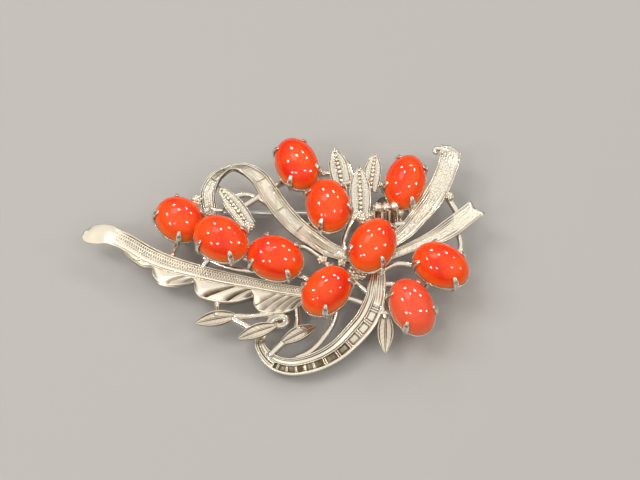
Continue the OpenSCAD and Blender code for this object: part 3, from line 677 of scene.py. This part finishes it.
def leaf_body(shape, tip, root, width, relief, outline):
    """A leaf whose top is sculpted by relief(u, t), u across it from -1 to 1, t from tip to root."""
    t, middle, swell, side, up = leaf_frame(tip, root, outline, LEAF_STEPS)
    u = np.linspace(-1, 1, LEAF_POINTS)[None, :]
    heights, painted_shade_and_tarnish = relief(u, t[:, None])
    heights = heights + np.zeros((LEAF_STEPS, LEAF_POINTS))
    spread = (swell * width / 2)[:, None, None]
    keep = (0.45 + 0.55 * swell)[:, None]
    top = (middle[:, None] + side[:, None] * u[:, :, None] * spread
           + up[:, None] * (heights * keep)[:, :, None])
    under = np.linspace(1, -1, BACK_POINTS)[None, :]
    back = (middle[:, None] + side[:, None] * (under * 0.9)[:, :, None] * spread
            - up[:, None] * (LEAF_THICK / 2 * keep)[:, :, None])
    rings = np.concatenate([top, back], axis=1)
    # Tarnish and painted shade, deepest in the relief's hollows, with a painted shade on the plain back
    shade = np.full((LEAF_STEPS, BACK_POINTS), 0.3)
    hollow = np.concatenate([np.clip(cavity(heights, 2) + painted_shade_and_tarnish, 0, 1), shade], axis=1)
    shape.add(rings, skin(rings), hollow)


def beaded_leaf(shape, tip, root, width):
    """A leaf with a double rim and a row of round beads down its middle."""
    length = np.linalg.norm(np.array(tip) - np.array(root))

    def relief(u, t):
        rim = line(np.abs(u), 0.93, 0.08, 0.20)
        trench = notch(u, 0, 0.27)
        field = np.abs(u) < 0.80
        grain = 0.06 * punched(u * width / 2, t * length, 0.33) * field
        groove = notch(np.abs(u), 0.83, 0.04)
        # Tarnish and painted shade in the trench and the grooves, and faintly over the field
        painted_shade_and_tarnish = 0.60 * trench + 0.08 * field + 0.60 * groove
        return 0.06 + 0.08 * np.abs(u) + rim + grain - 0.10 * trench, painted_shade_and_tarnish

    leaf_body(shape, tip, root, width, relief, spade)
    _, middle, swell, _, up = leaf_frame(tip, root, spade, BEAD_STEPS)
    for share in np.linspace(0.10, 0.92, round(length / BEAD_PITCH)):
        k = int(share * (BEAD_STEPS - 1))
        ball(shape, middle[k] + up[k] * 0.08, 0.21 + 0.16 * swell[k], sides=16, rings=9, squash=0.7)


def plain_leaf(shape, tip, root, width):
    """A marquise leaf with a thin raised rim, a fine midrib and faint side veins."""

    def relief(u, t):
        rim = line(np.abs(u), 0.89, 0.12, 0.30)
        rib = line(u, 0.0, 0.06, 0.18) * (t < 0.97)
        grooves = notch(np.abs(u), 0.10, 0.05) + 1.2 * notch(np.abs(u), 0.77, 0.05)
        veins = 0.012 * np.sin(2 * math.pi * (t * 9 + np.abs(u) * 1.4)) * (np.abs(u) < 0.78)
        field = np.abs(u) < 0.76
        # Tarnish and painted shade over the field and in the grooves
        return 0.04 + 0.04 * np.abs(u) + rim + rib + veins, 0.24 * field + 0.5 * grooves * (t < 0.97)

    leaf_body(shape, tip, root, width, relief, marquise)


def stone_frame(stone):
    """A function that brings points given round a stone into the drawing frame."""
    x, y, z, _, _, turn, lean_y, lean_x, _ = stone

    def spun(angle, axis):
        c, s = math.cos(math.radians(angle)), math.sin(math.radians(angle))
        return {"z": np.array([[c, -s, 0], [s, c, 0], [0, 0, 1]]),
                "y": np.array([[c, 0, s], [0, 1, 0], [-s, 0, c]]),
                "x": np.array([[1, 0, 0], [0, c, -s], [0, s, c]])}[axis]

    turned = spun(lean_y, "y") @ spun(lean_x, "x") @ spun(turn, "z")
    return lambda points: np.asarray(points, float) @ turned.T + np.array([x, y, z])


def oval_rings(half_length, half_width, section, count):
    """Rings of points round an oval; a row of section is a ring's scale, offset outwards and height."""
    turn = np.radians(np.arange(count) * 360 / count)
    return np.stack([np.column_stack([(half_length * scale + out) * np.cos(turn),
                                      (half_width * scale + out) * np.sin(turn),
                                      np.full(count, z)]) for scale, out, z in section])


def cabochon(stone, number, material, slot):
    """A smooth domed oval with a bevelled flat back."""
    # Rings as a share of the girdle's size and a height over it: the back, the bevel and the dome
    section = [[0.3, -STONE_BACK], [0.8, -STONE_BACK], [0.90, -STONE_BACK]]
    section += [[0.95, -0.6], [0.99, -0.4], [1.0, -0.2]]
    section += [[math.cos(r), DOME * math.sin(r)] for r in np.radians(np.linspace(0, 86, 24))]
    rings = oval_rings(stone[3], stone[4], [[scale, 0.0, z] for scale, z in section], STONE_POINTS)
    rise = np.repeat([(z + STONE_BACK) / (DOME + STONE_BACK) for _, z in section], STONE_POINTS)
    shape = Shape()
    shape.add(stone_frame(stone)(rings.reshape(-1, 3)), skin(rings), rise)
    return shape.piece("coral_%d" % number, material, "stone_%d" % number, mark="rise")


def claw(stone, angle):
    """Points and radii of one claw, from its foot under the stone to its tip on the dome."""
    reach = 1 / math.hypot(math.cos(angle) / stone[3], math.sin(angle) / stone[4])
    out = np.array([math.cos(angle), math.sin(angle), 0.0])
    rim = out * reach
    rows = [
        [*(rim - out * 1.5)[:2], -2.9, 0.33],
        [*(rim - out * 0.8)[:2], -2.3, 0.33],
        [*(rim + out * 0.02)[:2], -1.4, 0.34],
        [*(rim + out * 0.26)[:2], -0.6, 0.37],
    ]
    # Angle up the dome, distance off it, radius
    for rise, lift, radius in ((2, 0.29, 0.44), (13, 0.27, 0.48), (24, 0.23, 0.42), (34, 0.14, 0.24)):
        r = math.radians(rise)
        normal = np.array([math.cos(r) / reach, math.sin(r) / DOME])
        normal /= np.linalg.norm(normal)
        spot = out * (reach * math.cos(r) + normal[0] * lift)
        rows.append([spot[0], spot[1], DOME * math.sin(r) + normal[1] * lift, radius])
    return np.array(rows)


def setting(stone, number, material):
    """Seat rim under the stone and two bent wires that make its four claws."""
    turn, claws = stone[5], stone[8]
    set_in = stone_frame(stone)
    shape = Shape()
    # The rim's section: how far outside the girdle, and height over it
    section = [[-0.14, -0.74], [0.00, -0.50], [0.02, -0.40], [0.06, -0.38], [0.09, -0.46],
               [0.08, -0.7], [0.00, -1.2], [-0.16, -1.24], [-0.80, -0.95], [-0.80, -0.78]]
    rings = oval_rings(stone[3], stone[4], [[1.0, out, z] for out, z in section], RIM_POINTS)
    faces = skin(rings, capped=False)
    last = (len(section) - 1) * RIM_POINTS
    for j in range(RIM_POINTS):
        k = (j + 1) % RIM_POINTS
        faces.append([last + j, last + k, k, j])
    shape.add(set_in(rings.reshape(-1, 3)), faces)
    for first in (0, 1):
        one = claw(stone, math.radians(claws[first] - turn))
        two = claw(stone, math.radians(claws[first + 2] - turn))
        # The second wire crosses over the first
        one[0, 2] += 0.12 * first
        two[0, 2] += 0.12 * first
        rows = np.concatenate([one[::-1], two])
        chord = unit(two[0, :3] - one[0, :3])
        across = set_in(np.cross(chord, [0, 0, 1.0])) - set_in([0, 0, 0])
        tube(shape, set_in(rows[:, :3]), rows[:, 3], 16, 0.16, flat=0.62, across=across, crease=0.22)
    shape.piece("setting_%d" % number, material)


# Shader groups and materials


def link(tree, a, b):
    tree.links.new(a, b)


def node(tree, kind, **settings):
    """A new shader node with its settings."""
    made = tree.nodes.new(kind)
    for name, value in settings.items():
        setattr(made, name, value)
    return made


def new_group(name, output, **inputs):
    """A shader group with inputs at their usual values and one output, and its first and last node."""
    group = bpy.data.node_groups.new(name, "ShaderNodeTree")
    for title, value in inputs.items():
        entry = group.interface.new_socket(name=title, in_out="INPUT", socket_type="NodeSocketFloat")
        entry.default_value = value
    group.interface.new_socket(name=output, in_out="OUTPUT", socket_type="NodeSocketFloat")
    return group, node(group, "NodeGroupInput"), node(group, "NodeGroupOutput")


def object_noise(tree, detail):
    """Noise that lies in the object's own space."""
    made = node(tree, "ShaderNodeTexNoise")
    made.inputs["Detail"].default_value = detail
    spot = node(tree, "ShaderNodeTexCoord")
    link(tree, spot.outputs["Object"], made.inputs["Vector"])
    return made


def spread_out(tree, value, low, high):
    """A value spread out, so that low becomes 0 and high 1, or what the node's To sockets say."""
    made = node(tree, "ShaderNodeMapRange")
    made.inputs["From Min"].default_value = low
    made.inputs["From Max"].default_value = high
    link(tree, value, made.inputs["Value"])
    return made


def product(tree, first, second, **settings):
    """Two values multiplied."""
    made = node(tree, "ShaderNodeMath", operation="MULTIPLY", **settings)
    link(tree, first, made.inputs[0])
    link(tree, second, made.inputs[1])
    return made.outputs[0]


def tarnish_and_shade_group():
    """How much dark tarnish and painted shade lies at a point, from its hollow mark and a soft unevenness.
    """
    group, enter, leave = new_group("tarnish and painted shade in hollows", "Mask", Depth=1.0)
    mark = node(group, "ShaderNodeAttribute", attribute_name="hollow")
    patches = object_noise(group, 3.0)
    patches.inputs["Scale"].default_value = 400.0
    uneven = spread_out(group, patches.outputs["Fac"], 0.3, 0.7)
    uneven.inputs["To Min"].default_value = 0.55
    shade = product(group, mark.outputs["Fac"], uneven.outputs["Result"])
    link(group, product(group, shade, enter.outputs["Depth"], use_clamp=True), leave.inputs["Mask"])
    return group


def dents_group():
    """Height of the small dents that casting, hand work and wear leave."""
    group, enter, leave = new_group("small dents", "Height", Size=1800.0, Depth=0.5)
    waves = object_noise(group, 3.0)
    link(group, enter.outputs["Size"], waves.inputs["Scale"])
    link(group, product(group, waves.outputs["Fac"], enter.outputs["Depth"]), leave.inputs["Height"])
    return group


def smear_group():
    """Roughness that varies softly, as fingers and cloths leave it."""
    group, enter, leave = new_group("handling smears", "Roughness", Smooth=0.15, Rough=0.35, Size=300.0)
    patches = object_noise(group, 5.0)
    link(group, enter.outputs["Size"], patches.inputs["Scale"])
    smears = spread_out(group, patches.outputs["Fac"], 0.3, 0.7)
    link(group, enter.outputs["Smooth"], smears.inputs["To Min"])
    link(group, enter.outputs["Rough"], smears.inputs["To Max"])
    link(group, smears.outputs["Result"], leave.inputs["Roughness"])
    return group


TARNISH_AND_SHADE = tarnish_and_shade_group()
DENTS = dents_group()
SMEARS = smear_group()


def new_material(name):
    """A material, its tree of nodes and its main shader."""
    made = bpy.data.materials.new(name)
    made.use_nodes = True
    return made, made.node_tree, made.node_tree.nodes["Principled BSDF"]


def placed(tree, group, **values):
    """A shader group in a material, with its own values for the group's inputs."""
    made = node(tree, "ShaderNodeGroup", node_tree=group)
    for name, value in values.items():
        made.inputs[name].default_value = value
    return made


def colour_mix(tree, mask, first, second):
    """The first colour where the mask is 0 and the second where it is 1."""
    mix = node(tree, "ShaderNodeMix", data_type="RGBA")
    # Its sockets for colours: 0 takes the mask, 6 and 7 the colours, and 2 gives the result
    link(tree, mask, mix.inputs[0])
    for place, colour in ((6, first), (7, second)):
        if isinstance(colour, tuple):
            mix.inputs[place].default_value = (*colour, 1.0)
        else:
            link(tree, colour, mix.inputs[place])
    return mix.outputs[2]


def smeared_and_dented(tree, shader, smear, dent):
    """Roughness from the smears and normals from the small dents, with the values given for each."""
    finish = placed(tree, SMEARS, **smear)
    link(tree, finish.outputs["Roughness"], shader.inputs["Roughness"])
    height = placed(tree, DENTS, **dent)
    dents = node(tree, "ShaderNodeBump")
    dents.inputs["Strength"].default_value = 1.0
    dents.inputs["Distance"].default_value = 0.0001
    link(tree, height.outputs["Height"], dents.inputs["Height"])
    link(tree, dents.outputs["Normal"], shader.inputs["Normal"])


def silver(name, bright, dark, smooth, rough, depth, dent_size, dent_depth):
    """Cast or drawn silver: tarnish and painted shade in its hollows, small dents and smears over all."""
    made, tree, shader = new_material(name)
    shader.inputs["Metallic"].default_value = 1.0
    # The dark colour is tarnish and painted shade, laid where the hollow mark is high
    mask = placed(tree, TARNISH_AND_SHADE, Depth=depth)
    link(tree, colour_mix(tree, mask.outputs["Mask"], bright, dark), shader.inputs["Base Color"])
    smear = {"Smooth": smooth, "Rough": rough}
    smeared_and_dented(tree, shader, smear, {"Size": dent_size, "Depth": dent_depth})
    return made


def coral(name, painted_glow, body, deep):
    """Polished coral: a painted glow, lighter towards the girdle, clouded with a deeper red, under a clear
    gloss.
    """
    made, tree, shader = new_material(name)
    shader.inputs["Specular IOR Level"].default_value = 0.38
    shader.inputs["Subsurface Weight"].default_value = 0.12
    shader.inputs["Subsurface Radius"].default_value = (0.0010, 0.0003, 0.0001)
    shader.inputs["Subsurface Scale"].default_value = 1.0
    clouds = object_noise(tree, 4.0)
    clouds.inputs["Scale"].default_value = 190.0
    clouds.inputs["Distortion"].default_value = 0.6
    cloudy = spread_out(tree, clouds.outputs["Fac"], 0.42, 0.66)
    flesh = colour_mix(tree, cloudy.outputs["Result"], body, deep)
    # A painted glow of light through the thin edge: lighter orange towards the girdle
    mark = node(tree, "ShaderNodeAttribute", attribute_name="rise")
    girdle = spread_out(tree, mark.outputs["Fac"], 0.57, 0.22)
    link(tree, colour_mix(tree, girdle.outputs["Result"], flesh, painted_glow), shader.inputs["Base Color"])
    # Hand polishing leaves the dome slightly wavy
    smear = {"Smooth": 0.02, "Rough": 0.045, "Size": 500.0}
    smeared_and_dented(tree, shader, smear, {"Size": 330.0, "Depth": 0.09})
    return made


# Bright colour and the dark colour of tarnish and painted shade, smooth and rough limits, strength of the
# tarnish and painted shade, size and depth of the dents
CAST = silver("cast silver", (0.95, 0.89, 0.75), (0.13, 0.09, 0.055), 0.17, 0.29, 1.25, 2600.0, 0.22)
SATIN = silver("satin silver", (0.95, 0.88, 0.73), (0.14, 0.075, 0.04), 0.25, 0.36, 1.25, 1500.0, 0.10)
# The wire's silver is a darker copy of the cast silver: a painted shade
DRAWN = silver("drawn silver wire", (0.87, 0.82, 0.72), (0.16, 0.12, 0.08), 0.10, 0.20, 1.0, 1200.0, 0.45)
# The claws' silver is a lighter copy of the cast silver: a painted highlight
CLAWS = silver("claw silver with painted highlight", (0.97, 0.93, 0.82), (0.20, 0.14, 0.09), 0.18, 0.30, 1.0, 1400.0, 0.30)
PIN = silver("polished pin steel", (0.98, 0.97, 0.96), (0.2, 0.2, 0.2), 0.09, 0.14, 0.0, 900.0, 0.10)
# Colours of the painted glow at the girdle, the body and the deeper clouds
CORAL = coral("red coral", (1.0, 0.19, 0.018), (1.0, 0.088, 0.008), (0.86, 0.028, 0.004))
PALE = coral("pale red coral", (0.95, 0.19, 0.06), (0.92, 0.115, 0.045), (0.80, 0.05, 0.022))
# The stones, which the gleam lamps light
GLEAMING = bpy.data.collections.new("gleaming stones")


# The brooch


def make_stones():
    for number, stone in enumerate(STONES, 1):
        finish = (PALE, "coral_pale") if number == PALE_STONE else (CORAL, "coral")
        GLEAMING.objects.link(cabochon(stone, number, *finish))
        setting(stone, number, CLAWS)


def make_feather():
    band = Shape()
    ribbon(band, FEATHER, feather_relief, step=0.11)
    band.piece("feather_band", SATIN)
    for number, row in enumerate(LOBES, 1):
        shape = Shape()
        lobe(shape, *row)
        shape.piece("feather_lobe_%d" % number, SATIN)


def tapered(shape, rows, sides, step, crease=0.0):
    """A wire through rows of x, y, height and radius."""
    rows = np.array(rows)
    tube(shape, rows[:, :3], rows[:, 3], sides, step, crease=crease)


def make_ribbons():
    loop = Shape()
    ribbon(loop, LOOP, loop_relief)
    tapered(loop, SCROLL, 16, 0.12)
    loop.piece("loop_ribbon", CAST)
    tall = Shape()
    ribbon(tall, TALL, tall_relief, ends=tall_ends)
    tapered(tall, TALL_HOOK, 14, 0.12)
    tapered(tall, TALL_ROLL, 14, 0.35)
    tall.piece("tall_ribbon", CAST)
    short = Shape()
    ribbon(short, SHORT, short_relief, ends=short_ends)
    short.piece("short_ribbon", CAST)


def make_ladder():
    shape = Shape()
    ribbon(shape, LADDER, ladder_relief)
    tapered(shape, CURL, 16, 0.12, crease=0.2)
    x, y = FOOT
    tapered(shape, [[x, y, 2.8, 0.45], [x, y, 1.4, 0.50], [x, y, 0.40, 0.50]], 12, 0.35)
    shape.piece("ladder_ribbon", CAST)


def make_leaves():
    for number, leaf in enumerate(BEADED_LEAVES, 1):
        shape = Shape()
        beaded_leaf(shape, *leaf)
        shape.piece("beaded_leaf_%d" % number, CAST)
    for number, leaf in enumerate(PLAIN_LEAVES, 1):
        shape = Shape()
        plain_leaf(shape, *leaf)
        shape.piece("plain_leaf_%d" % number, SATIN)


def make_wires():
    shape = Shape()
    for points in WIRES:
        # A wire thickens where solder has run along its ends
        radii = [WIRE_THICK * 0.60] + [WIRE_THICK * 0.50] * (len(points) - 2) + [WIRE_THICK * 0.60]
        tube(shape, points, radii, 12)
    shape.piece("joining_wires", DRAWN)


def make_solder_beads():
    shape = Shape()
    for x, y, z, radius in NODULES:
        ball(shape, [x, y, z], radius * 0.8, 14, 9)
        # Lumps of three sizes over its upper side
        for k in range(LUMPS):
            out = outward(math.asin(0.9 - 1.1 * k / LUMPS), k * BEAD_TURN + x)
            ball(shape, out * radius * 0.72 + [x, y, z], radius * (0.32 + 0.10 * (k % 3)), 12, 7)
    shape.piece("solder_beads", CAST)


def make_stamens():
    shape = Shape()
    for number, (foot, top, radius) in enumerate(STAMENS):
        foot, top = np.array(foot), np.array(top)
        # The stem's core between the ribs is darkened with tarnish and painted shade
        tube(shape, [foot, top], radius * 0.62, 10, 0.2, painted_shade_and_tarnish=0.85)
        for turn in np.radians(np.arange(STEM_RIBS) * 360 / STEM_RIBS):
            out = np.array([math.cos(turn), math.sin(turn) * 0.6, math.sin(turn) * 0.6]) * radius * 0.72
            tube(shape, [foot + out, top + out * 0.9], 0.15, 8, 0.4)
        ball(shape, top, radius * 0.95, 20, 13)
        if number != POLISHED_STAMEN:
            for k in range(GRANULES):
                out = outward(math.asin(1 - 1.3 * (k + 0.5) / GRANULES), k * BEAD_TURN)
                ball(shape, top + out * radius * 0.92, 0.17, 8, 5)
    shape.piece("stamens", CAST)


def make_pads():
    """Plates with round corners, and posts up to the frame, that carry the hinge and the catch."""
    shape = Shape()
    # Half sizes and corner of the plate, top of the post and its shift from the plate's middle
    for (x, y), size, corner, top, shift in ((HINGE, (1.7, 1.6), 1.3, 4.7, (1.2, 0.6)),
                                             (CATCH, (0.8, 1.5), 0.5, 5.0, (0, 0))):
        outline = []
        for sx, sy, start in ((1, 1, 0), (-1, 1, 90), (-1, -1, 180), (1, -1, 270)):
            for turn in (0, 18, 36, 54, 72, 90):
                angle = math.radians(start + turn)
                outline.append([x + sx * (size[0] - corner) + corner * math.cos(angle),
                                y + sy * (size[1] - corner) + corner * math.sin(angle)])
        outline = np.array(outline)
        rings = np.stack([np.column_stack([outline, np.full(len(outline), z)]) for z in (3.2, 3.9, 4.0)])
        shape.add(rings, skin(rings))
        tube(shape, [[x + shift[0], y + shift[1], 3.6], [x + shift[0], y + shift[1], top]], 0.65, 12)
    shape.piece("pin_pads", SATIN)


def dress_findings():
    """The hinge, the catch and the pin keep their own shapes."""
    finishes = {"hinge_bracket": SATIN, "catch": SATIN, "hinge_rivet": PIN, "pin_stem": PIN}
    for name, material in finishes.items():
        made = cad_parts[name]
        made.data.materials.clear()
        made.data.materials.append(material)


make_stones()
make_feather()
make_ribbons()
make_ladder()
make_leaves()
make_wires()
make_solder_beads()
make_stamens()
make_pads()
dress_findings()


# Floor, lights and camera

# Point that the camera looks at, its distance and angle above the floor, and its lens in millimetres
TARGET = Vector((5.87, 4.90, 0.0)) * MM
VIEW_DISTANCE = 0.180
VIEW_RISE = math.radians(60)
LENS = 61.26
# Half the floor's side, in metres
FLOOR_HALF = 1.5


def floor():
    mesh = bpy.data.meshes.new("floor")
    corners = [(x * FLOOR_HALF, y * FLOOR_HALF, 0) for x, y in ((-1, -1), (1, -1), (1, 1), (-1, 1))]
    mesh.from_pydata(corners, [], [(0, 1, 2, 3)])
    made = bpy.data.objects.new("floor", mesh)
    bpy.context.collection.objects.link(made)
    paper, _, shader = new_material("pale paper")
    shader.inputs["Base Color"].default_value = (0.445, 0.437, 0.425, 1)
    shader.inputs["Roughness"].default_value = 0.8
    mesh.materials.append(paper)


def lamp(name, place, power, size, colour):
    """A round soft lamp that shines on the brooch."""
    data = bpy.data.lights.new(name, "AREA")
    data.shape = "DISK"
    data.size = size
    data.energy = power
    data.color = colour
    made = bpy.data.objects.new(name, data)
    made.location = place
    made.rotation_mode = "QUATERNION"
    made.rotation_quaternion = (TARGET - Vector(place)).to_track_quat("-Z", "Y")
    bpy.context.collection.objects.link(made)
    return made


# Small ceiling lamps: direction, from their gleams on the domes, and power
CEILING_DISTANCE = 0.5
CEILING = [
    [(-0.03, 0.49, 0.87), 0.03], [(0.34, 0.71, 0.62), 0.14], [(0.60, 0.53, 0.60), 0.14],
    [(-0.69, 0.16, 0.70), 0.14], [(-0.26, 0.75, 0.60), 0.10], [(0.44, -0.24, 0.87), 0.14],
    [(0.87, -0.03, 0.48), 0.18], [(-0.67, -0.44, 0.60), 0.18], [(-0.39, -0.49, 0.78), 0.18],
]


def lights():
    key = lamp("key softbox", (-0.30, 0.10, 0.55), 0.9, 0.35, (1.0, 0.97, 0.92))
    key.visible_glossy = False
    for number, (way, power) in enumerate(CEILING, 1):
        spot = TARGET + Vector(way).normalized() * CEILING_DISTANCE
        lamp("ceiling lamp %d" % number, spot, power, 0.035, (1.0, 0.95, 0.86))
        # Behind each, a lamp for the stones' gloss alone, in one of three sizes
        size = 0.042 + 0.012 * (number % 3)
        gleam = lamp("gleam lamp %d" % number, spot * 1.1, 0.50, size, (1.0, 0.95, 0.88))
        gleam.visible_diffuse = False
        gleam.light_linking.receiver_collection = GLEAMING
    sheen = lamp("sheen lamp", TARGET + Vector((-0.16, 0.22, 0.50)), 0.35, 0.22, (1.0, 0.96, 0.92))
    sheen.visible_diffuse = False
    sheen.light_linking.receiver_collection = GLEAMING
    # The studio is dark low down and bright overhead
    world = bpy.data.worlds.new("studio")
    bpy.context.scene.world = world
    world.use_nodes = True
    tree = world.node_tree
    sky = tree.nodes["Background"]
    sky.inputs["Color"].default_value = (1.0, 0.97, 0.93, 1)
    spot = node(tree, "ShaderNodeTexCoord")
    part = node(tree, "ShaderNodeSeparateXYZ")
    link(tree, spot.outputs["Generated"], part.inputs[0])
    fade = spread_out(tree, part.outputs["Z"], 0.15, 0.80)
    fade.inputs["To Min"].default_value = 0.10
    fade.inputs["To Max"].default_value = 0.92
    link(tree, fade.outputs["Result"], sky.inputs["Strength"])


def camera():
    data = bpy.data.cameras.new("camera")
    data.sensor_width = 36
    data.lens = LENS
    data.clip_start = 0.01
    made = bpy.data.objects.new("camera", data)
    back = Vector((0, -math.cos(VIEW_RISE), math.sin(VIEW_RISE)))
    made.location = TARGET + back * VIEW_DISTANCE
    made.rotation_mode = "QUATERNION"
    made.rotation_quaternion = (-back).to_track_quat("-Z", "Y")
    bpy.context.collection.objects.link(made)
    bpy.context.scene.camera = made


floor()
lights()
camera()
bpy.context.scene.view_settings.view_transform = "Standard"
